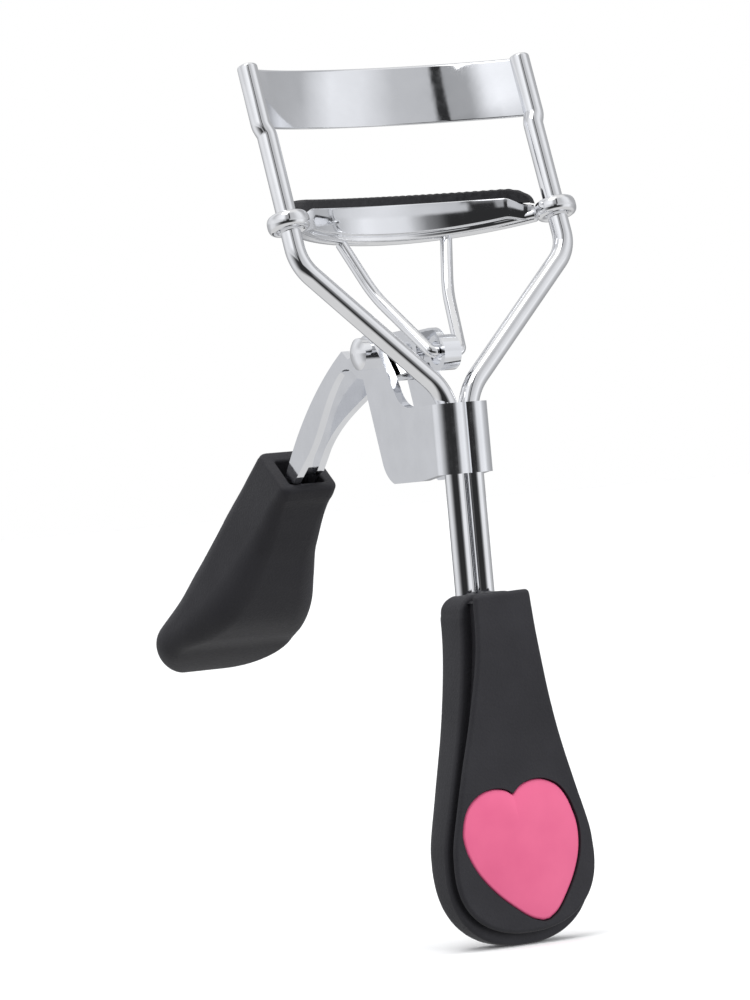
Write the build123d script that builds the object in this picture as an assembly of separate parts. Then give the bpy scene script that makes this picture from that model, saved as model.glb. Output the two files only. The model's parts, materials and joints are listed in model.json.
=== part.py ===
from build123d import *
import math
import os

# Eyelash curler, in millimetres.
#
# Working frame: the origin is midway between the two frame wires at the top edge of the collar.
# +Z runs up along the handle, +X to the right across the jaws, +Y back towards the squeeze lever.
# The finished parts are moved as one, so that the origin is the bottom centre of their box.
#
# The frame is two bent wires with a curved plate between their tops. A folded collar bracket
# holds the wires together and carries the lever pivot. Squeezing the lever lifts its short arm,
# which pushes the link wire and the padded lower jaw up along the wires to the plate.

# ---------------------------------------------------------------- driving dimensions

WIRE_R = 1.25
WIRE_X = 1.31
HEAD_X = 18.8
CROTCH_Z = 1.1
BEND_Y = 2.5
BEND_Z = 18.04
HEAD_TILT = 17.42
SLOT_START = 17.9
WIRE_TOP = 26.1
WIRE_FOOT_Z = -52.0
SLOT_SPREAD = 0.45
JOG_BELOW = 0.9
JOG_ABOVE = 0.2
JOG_R = 2.0
LOW_BEND_R = 7.0
HIGH_BEND_R = 5.0

SHEET = 1.1
COLLAR_H = 8.6
COLLAR_GAP = 0.9
EAR_DROP = 0.5
BOSS_R = 2.3
EAR_INNER_X = WIRE_X + WIRE_R
EAR_OUTER_X = EAR_INNER_X + SHEET

PIVOT_Y = 15.0
PIVOT_Z = 7.26
PIVOT_R = 1.1
RIVET_HEAD_R = 2.0
RIVET_HEAD_H = 1.9
RIVET_CROWN = 0.7
RUN_CLEARANCE = 0.05
WASHER_R = 2.1
WASHER_PLAY = 0.03

PIN_Y = 1.74
PIN_Z = 6.43
LINK_R = 0.75
LINK_FOOT_X = 2.05
LINK_KNEE = (5.2, 9.0, 14.1)
LINK_TOP = (7.48, 12.12, 20.9)
KNEE_R = 14.0
FOOT_R = 0.8
EYE_SLACK = 0.68
EYE_WALL = 0.75

CLOSE_ANGLE = 40.5

BOW = 9.3
RING_S = 5.39
RING_R = 0.65
RING_HALF_H = 1.0
RING_CLEARANCE = 0.07
PLATE_T = 0.8
PLATE_H = 7.9
PLATE_STAKE = 0.5
JAW_RISE = 2.3
PAD_TOP_Z = 26.1
PAD_H = 1.9
PAD_W = 2.2
PAD_REACH = 16.6
CHANNEL_TOP_Z = 24.9
CHANNEL_W = 3.2
CHANNEL_REACH = 15.4
CHANNEL_SEAT = 0.6
CHANNEL_DEPTH = 5.0
BAR_R = 0.9
BAR_FALL = 10.8
BAR_REACH = 17.0
BAR_SINK = 0.1
NECK_FROM = 13.6
NECK_TO = 17.2
NECK_W = 1.8
NECK_H = 1.0

GRIP_TOP_Z = -23.2
GRIP_FOOT_Z = -65.9
GRIP_SIDE = [(4.3, GRIP_TOP_Z), (4.7, -29.5), (6.2, -38.0), (8.5, -47.0), (10.2, -55.0), (8.4, -62.3)]
GRIP_BACK_Y = 3.6
GRIP_TAPER = 2.6
GRIP_CORNER_R = 1.2
GRIP_LEAN = 1.4
SEAM_Y = -3.5
COVER_FRONT_Y = -5.2
COVER_INSET = 0.4
COVER_REACH = 14.0
COVER_LIP_Y = -4.6
COVER_NECK_INSET = 1.4
COVER_FOOT_IN = 1.5
COVER_SIDE = [(-5.2, -66.0), (-5.2, -48.0), (-5.35, -43.0), (-5.9, -37.0), (-6.6, -30.0), (-6.5, -23.0)]
HEART_PROUD = 0.3
HEART_GAP = 0.15
HEART_DEPTH = 0.9
HEART_TURN = 5.0
HEART_X = -0.3
HEART_Z = -53.1
GRIP_BACK_R = 2.6

LEVER_HALF_X = 2.2
LEVER_SHEET = 1.0
LEVER_GRIP_TOP = (42.38, -5.94)
LEVER_GRIP_TILT = 39.5
LEVER_GRIP_CURL = 0.615
LEVER_GRIP_LENGTH = 41.1
LEVER_GRIP_DRIFT = -1.2
LEVER_GRIP_CORNER = 0.3
LEVER_GRIP_CORNER_RISE = 0.93
LEVER_GRIP_CORNER_MOST = 0.95
SOCKET_W = 5.0
SOCKET_DEPTH = 17.0
SOCKET_OFFSET = 0.4

# ---------------------------------------------------------------- derived places

TILT = math.radians(HEAD_TILT)
UP_Y = math.sin(TILT)
UP_Z = math.cos(TILT)
CRANK_R = math.hypot(PIVOT_Y - PIN_Y, PIVOT_Z - PIN_Z)
CRANK_START = math.atan2(PIN_Z - PIVOT_Z, PIVOT_Y - PIN_Y)
EYE_OUTER_R = LINK_R + EYE_SLACK + EYE_WALL


def along_head(s, x=HEAD_X):
    """A point on a head wire's centre line, s above the upper bend."""
    return (x, BEND_Y + s * UP_Y, BEND_Z + s * UP_Z)


def crank_tip(angle):
    """Where the centre of the short arm's eye is after closing by an angle in degrees."""
    turn = CRANK_START + math.radians(angle)
    return (PIVOT_Y - CRANK_R * math.cos(turn), PIVOT_Z + CRANK_R * math.sin(turn))


MID_Y, MID_Z = crank_tip(CLOSE_ANGLE / 2)
EYE_BULGE = (MID_Y - PIN_Y) * UP_Z - (MID_Z - PIN_Z) * UP_Y
# The eye swings on an arc while the pin goes straight, so the pin starts half the bulge off centre.
EYE_Y = PIN_Y - EYE_BULGE / 2 * UP_Z
EYE_Z = PIN_Z + EYE_BULGE / 2 * UP_Y

# ---------------------------------------------------------------- small tools


def wire(points, radii, radius):
    """A round wire along straight runs joined by tangent arcs."""
    path = FilletPolyline(*points, radius=radii)
    section = Plane(origin=path @ 0, z_dir=path % 0) * Circle(radius)
    return sweep(section, path)


def plate_yz(outline, x_low, x_high):
    """A flat plate between two X positions, from an outline of (y, z) curves."""
    face = make_face(Plane.YZ * outline)
    return Pos(x_low, 0, 0) * extrude(face, x_high - x_low, dir=(1, 0, 0))


def cylinder_x(y, z, radius, x_low, x_high):
    """A round bar along X."""
    disc = Plane(origin=(x_low, y, z), z_dir=(1, 0, 0)) * Circle(radius)
    return extrude(disc, x_high - x_low)


def mirrored(shape):
    """The same shape on the other side of the middle plane."""
    return mirror(shape, about=Plane.YZ)


def bow_arc(end_y, half_chord, from_x, to_x):
    """The stretch between two X positions of an arc that bows back from the wires."""
    radius = (half_chord**2 + BOW**2) / (2 * BOW)
    centre = (0, end_y + BOW - radius)
    start = math.degrees(math.acos(to_x / radius))
    end = math.degrees(math.acos(from_x / radius))
    return CenterArc(centre, radius, start, end - start)


def bow_band(end_y, half_chord, width, reach):
    """A flat band of constant width along a bow arc, out to a reach each side, in the XY plane."""
    return trace(bow_arc(end_y, half_chord, -reach, reach), width)


def tipped(angle, y, z):
    """The placement that lifts a flat shape to height z and tips its back up by an angle."""
    return Pos(0, y, z) * Rot(angle, 0, 0) * Pos(0, -y, 0)


# ---------------------------------------------------------------- frame wires


def frame_wire():
    """The right-hand wire, with its top slit to take the plate."""
    low = (WIRE_X, 0, WIRE_FOOT_Z)
    crotch = (WIRE_X, 0, CROTCH_Z)
    bend = along_head(0)
    jog_low = along_head(SLOT_START - JOG_BELOW)
    jog_high = along_head(SLOT_START + JOG_ABOVE, HEAD_X + SLOT_SPREAD)
    top = along_head(WIRE_TOP, HEAD_X + SLOT_SPREAD)
    corners = [low, crotch, bend, jog_low, jog_high, top]
    return wire(corners, [LOW_BEND_R, HIGH_BEND_R, JOG_R, JOG_R], WIRE_R)


# ---------------------------------------------------------------- upper jaw plate


def jaw_plate():
    """A thin plate bowed back between the wire tops, leaning with the head."""
    foot_y, foot_z = along_head(SLOT_START)[1:]
    half = HEAD_X + SLOT_SPREAD
    band = bow_band(foot_y, half, PLATE_T, half + PLATE_STAKE)
    return extrude(tipped(JAW_RISE, foot_y, foot_z) * band, PLATE_H, dir=(0, UP_Y, UP_Z))


# ---------------------------------------------------------------- collar bracket


def ear_outline():
    """The side of the bracket: collar below, an arm curving up and back to the pivot."""
    throat = (9.2, 2.6)
    arm_front = (10.3, 4.6)
    boss_front = (PIVOT_Y - BOSS_R * 0.94, PIVOT_Z + BOSS_R * 0.34)
    boss_top = (PIVOT_Y + 0.3, PIVOT_Z + BOSS_R)
    boss_back = (PIVOT_Y + BOSS_R * 0.97, PIVOT_Z - BOSS_R * 0.24)
    foot_z = -COLLAR_H - EAR_DROP
    heel_top = (13.4, -6.4)
    heel_foot = (10.9, foot_z)
    lines = Curve()
    lines += Line((0, -COLLAR_H), (0, 0))
    lines += Line((0, 0), (5.4, 0))
    lines += TangentArc((5.4, 0), throat, tangent=(1, 0))
    lines += Line(throat, arm_front)
    lines += Line(arm_front, boss_front)
    lines += ThreePointArc(boss_front, boss_top, boss_back)
    lines += Line(boss_back, heel_top)
    heel_way = (heel_top[0] - boss_back[0], heel_top[1] - boss_back[1])
    lines += TangentArc(heel_top, heel_foot, tangent=heel_way)
    lines += Line(heel_foot, (4.0, foot_z))
    lines += Line((4.0, foot_z), (0, -COLLAR_H))
    return lines


def collar():
    """A folded sheet wrapped round both wires, with an ear at each side."""
    wraps = Sketch()
    for side in (-1, 1):
        wraps += Pos(side * WIRE_X, 0) * Circle(WIRE_R + SHEET)
    front = wraps & Pos(0, -5) * Rectangle(20, 10)
    block = Pos(0, 0, -COLLAR_H) * extrude(front, COLLAR_H)
    bores = Sketch()
    for side in (-1, 1):
        bores += Pos(side * WIRE_X, 0) * Circle(WIRE_R)
    bores += Rectangle(2 * WIRE_X, COLLAR_GAP)
    ear = plate_yz(ear_outline(), EAR_INNER_X, EAR_OUTER_X)
    ear -= cylinder_x(PIVOT_Y, PIVOT_Z, PIVOT_R, EAR_INNER_X - 1, EAR_OUTER_X + 1)
    bracket = block + ear + mirrored(ear)
    bracket -= Pos(0, 0, -COLLAR_H - 1) * extrude(bores, COLLAR_H + 2)
    right_wire = frame_wire()
    return bracket - right_wire - mirrored(right_wire)


# ---------------------------------------------------------------- pivot


def rivet():
    """A rivet through both ears, with a low domed head at each end."""
    shank = cylinder_x(PIVOT_Y, PIVOT_Z, PIVOT_R, -EAR_OUTER_X, EAR_OUTER_X)
    ball_r = (RIVET_HEAD_R**2 + RIVET_CROWN**2) / (2 * RIVET_CROWN)
    drum = extrude(Circle(RIVET_HEAD_R), RIVET_HEAD_H)
    head = drum & Pos(0, 0, RIVET_HEAD_H - ball_r) * Sphere(ball_r)
    right = Plane(origin=(EAR_OUTER_X, PIVOT_Y, PIVOT_Z), z_dir=(1, 0, 0)) * head
    return shank + right + mirrored(right)


def washers():
    """Thin spacers between the ears and the lever."""
    inner = LEVER_HALF_X + WASHER_PLAY
    outer = EAR_INNER_X - WASHER_PLAY
    ring = cylinder_x(PIVOT_Y, PIVOT_Z, WASHER_R, inner, outer)
    ring -= cylinder_x(PIVOT_Y, PIVOT_Z, PIVOT_R + RUN_CLEARANCE, inner - 1, outer + 1)
    return [ring, mirrored(ring)]


# ---------------------------------------------------------------- lever

ELBOW = (24.1, 8.1)
NOTCH = (22.6, 7.0)
ARM_BACK_MID = (32.4, 2.9)
ARM_BACK_LOW = (42.4, -7.4)
TONGUE_END = (51.5, -16.9)
SHORT_ARM_END = (7.7, 7.0)
SHORT_ARM_R = 2.6
SHORT_ARM_LEAN = 0.4
LEVER_BOSS_R = 2.1
CLIP_RIVET_R = 0.7
CLIP_HEAD_R = 1.1
CLIP_HEAD_H = 0.3
CLIP_HALF_X = 1.17
DRILL_REACH = 4

# The free edge of each side of the lever and its tip in the grip socket. The right side is the
# deeper one.
NEAR_FRONT = [(20.6, 4.5), (24.2, 5.7), (26.6, 4.4), (31.3, -0.4), (35.4, -4.5)]
NEAR_TIP = (39.9, -7.8)
FAR_FRONT = [(21.6, 3.8), (27.1, 1.5), (33.2, -1.2), (37.0, -3.8)]
FAR_TIP = (39.6, -6.5)


def lever_flange(front_points, tip):
    """One side of the lever: short arm, pivot boss and the long arm down into the grip."""
    y0, z0 = SHORT_ARM_END
    arm_top = (y0 + SHORT_ARM_LEAN, z0 + SHORT_ARM_R)
    arm_foot = (y0 + SHORT_ARM_LEAN, z0 - SHORT_ARM_R)
    boss_top = (PIVOT_Y - 0.3, PIVOT_Z + LEVER_BOSS_R)
    boss_foot = (PIVOT_Y + 0.5, PIVOT_Z - 3.6)
    lines = Curve()
    lines += ThreePointArc(arm_top, (y0 - SHORT_ARM_R, z0), arm_foot)
    lines += Line(boss_top, arm_top)
    lines += Line(NOTCH, boss_top)
    lines += Line(ELBOW, NOTCH)
    lines += ThreePointArc(ELBOW, ARM_BACK_MID, ARM_BACK_LOW)
    lines += Line(ARM_BACK_LOW, tip)
    lines += Line(tip, front_points[-1])
    lines += Spline(*reversed(front_points))
    lines += Line(front_points[0], boss_foot)
    lines += Line(boss_foot, arm_foot)
    return lines


def lever_web():
    """The back of the lever, from the elbow down to the tongue inside the grip's socket."""
    inner_elbow = (ELBOW[0] - 0.7, ELBOW[1] - 0.7)
    inner_mid = (ARM_BACK_MID[0] - 0.6, ARM_BACK_MID[1] - 0.8)
    inner_low = (ARM_BACK_LOW[0] - 0.7, ARM_BACK_LOW[1] - 0.7)
    inner_end = (TONGUE_END[0] - 0.7, TONGUE_END[1] - 0.7)
    lines = Curve()
    lines += ThreePointArc(ELBOW, ARM_BACK_MID, ARM_BACK_LOW)
    lines += Line(ARM_BACK_LOW, TONGUE_END)
    lines += Line(TONGUE_END, inner_end)
    lines += Line(inner_end, inner_low)
    lines += ThreePointArc(inner_low, inner_mid, inner_elbow)
    lines += Line(inner_elbow, ELBOW)
    return plate_yz(lines, -LEVER_HALF_X, LEVER_HALF_X)


def lever():
    """A stamped channel, open towards the handle, with its web along the back."""
    inner = LEVER_HALF_X - LEVER_SHEET
    near = plate_yz(lever_flange(NEAR_FRONT, NEAR_TIP), -LEVER_HALF_X, -inner)
    far = plate_yz(lever_flange(FAR_FRONT, FAR_TIP), inner, LEVER_HALF_X)
    body = near + far + lever_web()
    body -= cylinder_x(PIVOT_Y, PIVOT_Z, PIVOT_R + RUN_CLEARANCE, -DRILL_REACH, DRILL_REACH)
    y0, z0 = SHORT_ARM_END
    body -= cylinder_x(y0, z0, CLIP_RIVET_R, -DRILL_REACH, DRILL_REACH)
    return body


def link_clip():
    """The rolled eye at the end of the short arm, with its tail between the lever's sides."""
    half = CLIP_HALF_X
    y0, z0 = SHORT_ARM_END
    eye = cylinder_x(EYE_Y, EYE_Z, EYE_OUTER_R, -half, half)
    tail_face = make_face(
        Plane.YZ
        * Polyline(
            (EYE_Y, EYE_Z + EYE_OUTER_R - 0.6),
            (EYE_Y, EYE_Z - 1.2),
            (y0 + 1.8, z0 - 1.3),
            (y0 + 1.8, z0 + 1.4),
            close=True,
        )
    )
    tail = Pos(-half, 0, 0) * extrude(tail_face, 2 * half, dir=(1, 0, 0))
    clip = eye + tail
    clip -= cylinder_x(EYE_Y, EYE_Z, LINK_R + EYE_SLACK, -half - 1, half + 1)
    clip -= cylinder_x(y0, z0, CLIP_RIVET_R, -DRILL_REACH, DRILL_REACH)
    return clip


def clip_rivet():
    """The small rivet that holds the clip between the lever's sides."""
    y0, z0 = SHORT_ARM_END
    pin = cylinder_x(y0, z0, CLIP_RIVET_R, -LEVER_HALF_X, LEVER_HALF_X)
    head = cylinder_x(y0, z0, CLIP_HEAD_R, LEVER_HALF_X, LEVER_HALF_X + CLIP_HEAD_H)
    return pin + head + mirrored(head)


# ---------------------------------------------------------------- link wire


def link():
    """One bent wire: a cross pin through the clip's eye and a leg up to each side of the jaw."""
    foot = (LINK_FOOT_X, PIN_Y, PIN_Z)
    right_leg = [foot, LINK_KNEE, LINK_TOP]
    left_leg = [(-x, y, z) for x, y, z in reversed(right_leg)]
    return wire(left_leg + right_leg, [KNEE_R, FOOT_R, FOOT_R, KNEE_R], LINK_R) - jaw_bar()


# ---------------------------------------------------------------- lower jaw

RING_Y, RING_Z = along_head(RING_S)[1:]
RING_MAJOR = WIRE_R + RING_CLEARANCE + RING_R
BAR_Z = RING_Z - BAR_SINK


def eye_ring():
    """The ring that slides on the right-hand wire."""
    place = Plane(origin=(HEAD_X, RING_Y, RING_Z), x_dir=(1, 0, 0), z_dir=(0, UP_Y, UP_Z))
    section = Plane.XZ * Pos(RING_MAJOR, 0) * Ellipse(RING_R, RING_HALF_H)
    return place * revolve(section, Axis.Z)


def jaw_bar():
    """A round wire under the jaw that follows its bow and ends on the two eyes."""
    path = tipped(-BAR_FALL, RING_Y, BAR_Z) * bow_arc(RING_Y, HEAD_X, -BAR_REACH, BAR_REACH)
    section = Plane(origin=path @ 0, z_dir=path % 0) * Circle(BAR_R)
    bar = sweep(section, path)
    return bar - eye_ring() - mirrored(eye_ring())


def pad():
    """The rubber pad, standing proud of the channel."""
    band = bow_band(RING_Y, HEAD_X, PAD_W, PAD_REACH)
    return tipped(JAW_RISE, RING_Y, PAD_TOP_Z - PAD_H) * extrude(band, PAD_H)


def channel_block():
    """The trough before the bar is let into its underside."""
    band = bow_band(RING_Y, HEAD_X, CHANNEL_W, CHANNEL_REACH)
    block = tipped(JAW_RISE, RING_Y, CHANNEL_TOP_Z - CHANNEL_DEPTH) * extrude(band, CHANNEL_DEPTH)
    cutter = Box(60, 60, 20, align=(Align.CENTER, Align.CENTER, Align.MAX))
    block -= tipped(-BAR_FALL, RING_Y, BAR_Z + CHANNEL_SEAT) * cutter
    return block - pad() - eye_ring() - mirrored(eye_ring())


def channel():
    """The curved trough that holds the pad."""
    return channel_block() - jaw_bar()


def guide_eye():
    """The right-hand eye: a ring that slides on the wire, with a neck to the channel's end."""
    neck_band = trace(bow_arc(RING_Y, HEAD_X, NECK_FROM, NECK_TO), NECK_W)
    neck = Pos(0, 0, RING_Z + BAR_SINK) * extrude(neck_band, NECK_H)
    bore = Plane(origin=(HEAD_X, RING_Y, RING_Z), z_dir=(0, UP_Y, UP_Z)) * Cylinder(RING_MAJOR, 6)
    return eye_ring() + (neck - bore - channel_block() - jaw_bar() - pad())


# ---------------------------------------------------------------- handle


def teardrop(side, foot_z):
    """A closed outline: a flat top, and one smooth curve down a side, round the foot and up again."""
    other_side = [(-x, z) for x, z in reversed(side)]
    curve = Spline(*side, (0, foot_z), *other_side, tangents=[(0.06, -1), (0.06, 1)])
    lid = Line((-side[0][0], side[0][1]), side[0])
    face = make_face(curve + lid)
    return fillet(face.vertices(), GRIP_CORNER_R)


def leaning(shape):
    """Turn a handle shape a little about its top: the moulding sits askew on the wires."""
    return Pos(0, 0, GRIP_TOP_Z) * Rot(0, -GRIP_LEAN, 0) * Pos(0, 0, -GRIP_TOP_Z) * shape


def grip_outline(inset=0.0, foot_in=0.0):
    """The handle seen from the front, as a face in the XZ plane."""
    pulled_in = [(x - inset, z) for x, z in GRIP_SIDE]
    return Plane.XZ * teardrop(pulled_in, GRIP_FOOT_Z + foot_in)


def slab(face, y_low, y_high):
    """Extrude a face that lies in the XZ plane between two Y positions."""
    return leaning(Pos(0, y_low, 0) * extrude(face, y_high - y_low, dir=(0, 1, 0)))


def heart_face(grow=0.0):
    """The heart outline in the XZ plane, turned a few degrees as it is on the handle."""
    cleft = (0, 5.5)
    right_side = (8.0, 1.0)
    left_side = (-7.8, 1.0)
    tip = (1.4, -10.2)
    edge = ThreePointArc(cleft, (4.4, 6.5), right_side)
    edge += Spline(right_side, (6.5, -5.4), tip, tangents=[(0.0, -1), (-1.0, -0.7)])
    edge += Spline(tip, (-4.8, -5.4), left_side, tangents=[(-1.0, 0.6), (0.0, 1)])
    edge += ThreePointArc(left_side, (-4.4, 6.5), cleft)
    face = make_face(Plane.XZ * edge)
    face = scale(face, 1 + grow / right_side[0])
    return Pos(HEART_X, 0, HEART_Z) * Rot(0, -HEART_TURN, 0) * face


def grip_body():
    """The back half of the handle, bored for the two wires."""
    body = slab(grip_outline(), SEAM_Y, GRIP_BACK_Y)
    taper = Rot(-GRIP_TAPER, 0, 0) * Box(60, 20, 120, align=(Align.CENTER, Align.MIN, Align.CENTER))
    body -= Pos(0, GRIP_BACK_Y, GRIP_TOP_Z) * taper
    back = body.faces().sort_by(Axis.Y)[-1]
    body = fillet(back.edges(), GRIP_BACK_R)
    for side in (-1, 1):
        body -= Pos(side * WIRE_X, 0, WIRE_FOOT_Z) * extrude(Circle(WIRE_R), 60)
    return body


def grip_cover():
    """The front half of the handle: a lid on a narrower neck, with a pocket for the heart."""
    front_line = Spline(*COVER_SIDE)
    low_back = (COVER_LIP_Y, COVER_SIDE[0][1])
    top_back = (COVER_LIP_Y, COVER_SIDE[-1][1])
    back_line = Polyline(front_line @ 1, top_back, low_back, front_line @ 0)
    side_view = extrude(Plane.YZ * make_face(front_line + back_line), COVER_REACH, both=True)
    furthest_out = min(y for y, _ in COVER_SIDE) - 1
    lid = slab(grip_outline(COVER_INSET, COVER_FOOT_IN), furthest_out, COVER_LIP_Y) & side_view
    neck_outline = grip_outline(COVER_NECK_INSET, COVER_FOOT_IN + COVER_NECK_INSET)
    cover = lid + slab(neck_outline, COVER_LIP_Y, SEAM_Y)
    return cover - slab(heart_face(HEART_GAP), COVER_FRONT_Y - 1, COVER_FRONT_Y + HEART_DEPTH)


def heart():
    """The heart inlay, a little proud of the cover."""
    return slab(heart_face(), COVER_FRONT_Y - HEART_PROUD, COVER_FRONT_Y + HEART_DEPTH)


# ---------------------------------------------------------------- lever grip

# At fractions of the way down the grip's centre line: its half width, its half thickness, and how
# far its middle lies behind that line.
LEVER_GRIP_SECTIONS = [
    (0, 4.12, 4.17, 0),
    (0.15, 4.46, 4.77, 0.62),
    (0.26, 5.12, 5.13, 0.75),
    (0.38, 6.4, 5.29, 0.01),
    (0.5, 7.9, 5.0, -0.85),
    (0.61, 8.97, 3.9, -1.15),
    (0.75, 9.93, 2.4, -0.8),
    (0.88, 7.2, 1.5, -0.4),
    (0.98, 2.2, 0.9, -0.05),
]


def lever_grip_plane(fraction):
    """The plane square to the grip's outward-curling centre line, some way down it."""
    run = fraction * LEVER_GRIP_LENGTH
    chord = math.radians(LEVER_GRIP_TILT + LEVER_GRIP_CURL * run / 2)
    heading = math.radians(LEVER_GRIP_TILT + LEVER_GRIP_CURL * run)
    y = LEVER_GRIP_TOP[0] + run * math.sin(chord)
    z = LEVER_GRIP_TOP[1] - run * math.cos(chord)
    return Plane(
        origin=(LEVER_GRIP_DRIFT * fraction, y, z),
        x_dir=(1, 0, 0),
        z_dir=(0, math.sin(heading), -math.cos(heading)),
    )


def lever_grip():
    """A teardrop thumb grip on the lever's long arm, thick at the top and thin at the foot."""
    sections = []
    for fraction, half_width, half_t, behind in LEVER_GRIP_SECTIONS:
        rounding = min(LEVER_GRIP_CORNER_MOST, LEVER_GRIP_CORNER + LEVER_GRIP_CORNER_RISE * fraction)
        corner = rounding * min(half_width, half_t)
        place = lever_grip_plane(fraction) * Pos(0, -behind, 0)
        sections.append(place * RectangleRounded(2 * half_width, 2 * half_t, corner))
    grip = loft(sections)
    mouth = lever_grip_plane(0) * Pos(0, SOCKET_OFFSET, 0)
    socket = mouth * Box(SOCKET_W, SOCKET_W, 2 * SOCKET_DEPTH)
    return grip - socket - lever()


def export_all(parts):
    """Move every part so that the origin is the bottom centre of the whole, then write it."""
    boxes = [shape.bounding_box() for group in parts.values() for shape in group]
    mid_x = (min(box.min.X for box in boxes) + max(box.max.X for box in boxes)) / 2
    mid_y = (min(box.min.Y for box in boxes) + max(box.max.Y for box in boxes)) / 2
    low_z = min(box.min.Z for box in boxes)
    shift = Pos(-mid_x, -mid_y, -low_z)
    print("origin shift", shift.position)
    os.makedirs("parts", exist_ok=True)
    for name, group in parts.items():
        moved = [shift * shape for shape in group]
        node = moved[0] if len(moved) == 1 else Compound(moved)
        export_step(node, f"parts/{name}.step")


def main():
    right_wire = frame_wire()
    right_eye = guide_eye()
    parts = {
        "frame_wire_right": [right_wire - jaw_plate()],
        "frame_wire_left": [mirrored(right_wire - jaw_plate())],
        "upper_jaw_plate": [jaw_plate()],
        "collar_bracket": [collar()],
        "pivot_rivet": [rivet()],
        "pivot_washers": washers(),
        "lever_arm": [lever()],
        "link_clip": [link_clip()],
        "clip_rivet": [clip_rivet()],
        "link_wire": [link()],
        "lower_jaw_bar": [jaw_bar()],
        "guide_eye_right": [right_eye],
        "guide_eye_left": [mirrored(right_eye)],
        "lower_jaw_channel": [channel()],
        "lash_pad": [pad()],
        "handle_grip_body": [grip_body()],
        "handle_grip_cover": [grip_cover()],
        "heart_inlay": [heart()],
        "lever_grip": [lever_grip()],
    }
    export_all(parts)


main()
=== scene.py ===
import json
import math

import bmesh
import bpy
import numpy as np
from mathutils import Matrix, Vector


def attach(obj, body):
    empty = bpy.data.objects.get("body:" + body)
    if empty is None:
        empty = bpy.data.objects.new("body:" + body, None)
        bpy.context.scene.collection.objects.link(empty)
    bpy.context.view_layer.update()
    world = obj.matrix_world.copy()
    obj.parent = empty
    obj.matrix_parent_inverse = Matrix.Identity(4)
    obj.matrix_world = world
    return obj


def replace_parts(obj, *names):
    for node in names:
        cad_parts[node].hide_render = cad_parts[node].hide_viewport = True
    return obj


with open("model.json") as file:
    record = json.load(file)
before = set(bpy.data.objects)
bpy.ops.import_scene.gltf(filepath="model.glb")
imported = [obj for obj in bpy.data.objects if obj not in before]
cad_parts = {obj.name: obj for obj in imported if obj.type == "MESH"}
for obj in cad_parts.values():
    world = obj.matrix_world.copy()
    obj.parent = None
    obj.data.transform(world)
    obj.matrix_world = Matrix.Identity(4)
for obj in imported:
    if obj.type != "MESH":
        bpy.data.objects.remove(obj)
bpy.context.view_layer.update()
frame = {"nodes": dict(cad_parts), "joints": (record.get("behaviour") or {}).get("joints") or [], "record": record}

# Eyelash curler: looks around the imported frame.
#
# Lengths below are millimetres in the drawing's own frame: the origin is midway between the two
# handle wires at the collar's top edge, +Z up along the handle, +Y back towards the lever.
# The lever pivot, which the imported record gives, ties that frame to the row frame.

MM = 0.001
PIVOT_MM = Vector((0.0, 15.0, 7.26))
LEVER_PIVOT = next(j for j in frame["joints"] if j["name"] == "lever_pivot")
ORIGIN = Vector(LEVER_PIVOT["pos_m"]) - PIVOT_MM * MM


def to_row(point):
    """A point in drawing millimetres as a point in the row frame."""
    return ORIGIN + Vector(point) * MM


# ---------------------------------------------------------------- camera

VIEW_AZIMUTH = math.radians(-29.04)
VIEW_ELEVATION = math.radians(-0.05)
VIEW_ROLL = math.radians(5.147)
VIEW_DISTANCE = 573.53
VIEW_RIGHT = -10.05
VIEW_UP = -11.79
VIEW_LENS = 170.25


def add_camera():
    """A long-lens camera, left of the front and rolled a little, so that the tool leans in its view."""
    az, el = VIEW_AZIMUTH, VIEW_ELEVATION
    back = Vector((math.sin(az) * math.cos(el), -math.cos(az) * math.cos(el), math.sin(el)))
    level = Vector((math.cos(az), math.sin(az), 0))
    upright = back.cross(level)
    right = math.cos(VIEW_ROLL) * level - math.sin(VIEW_ROLL) * upright
    up = math.sin(VIEW_ROLL) * level + math.cos(VIEW_ROLL) * upright
    data = bpy.data.cameras.new("camera")
    data.lens = VIEW_LENS
    camera = bpy.data.objects.new("camera", data)
    bpy.context.scene.collection.objects.link(camera)
    turn = Matrix((right, up, back)).transposed().to_4x4()
    spot = to_row(back * VIEW_DISTANCE + right * VIEW_RIGHT + up * VIEW_UP)
    camera.matrix_world = Matrix.Translation(spot) @ turn
    bpy.context.scene.camera = camera


# ---------------------------------------------------------------- studio

CAMERA_SIDE = math.radians(-90) + VIEW_AZIMUTH

# Brightness of the studio walls against the angle to the camera's left (negative) and right, for
# three heights: level with the object, a little above it, and well up.
LOW_WALL = [
    (-180, 0.35), (-150, 0.45), (-126, 0.58), (-104, 0.85), (-80, 0.80), (-56, 0.42), (-38, 0.10),
    (-26, 0.03), (22, 0.03), (36, 0.25), (50, 0.85), (80, 0.98), (100, 0.60), (130, 0.42), (180, 0.35),
]
MID_WALL = [
    (-180, 0.40), (-130, 0.75), (-90, 0.90), (-50, 0.80), (-27, 0.62), (-24, 0.38), (-9, 0.36),
    (-8, 0.03), (8, 0.03), (9, 0.55), (40, 0.70), (70, 0.88), (95, 0.75), (120, 0.50), (180, 0.40),
]
HIGH_WALL = [
    (-180, 0.60), (-120, 0.90), (-88, 0.60), (-60, 0.90), (-40, 1.04), (-26, 1.08), (-20, 0.98),
    (-14, 0.66), (-9, 0.42), (6, 0.40), (7, 0.03), (13.5, 0.03), (14.5, 0.57), (40, 0.60), (53, 0.76),
    (63, 0.87), (85, 0.95), (100, 0.68), (108, 0.50), (138, 0.46), (150, 0.60), (180, 0.60),
]
# Where each layer fades in over those before it: 0 is level, 1 straight up and -1 straight down.
MID_RISE = (0.03, 0.10)
HIGH_RISE = (0.22, 0.42)
LID_RISE = (0.76, 0.88)
TABLE_FALL = (-0.4, -0.62)
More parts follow.
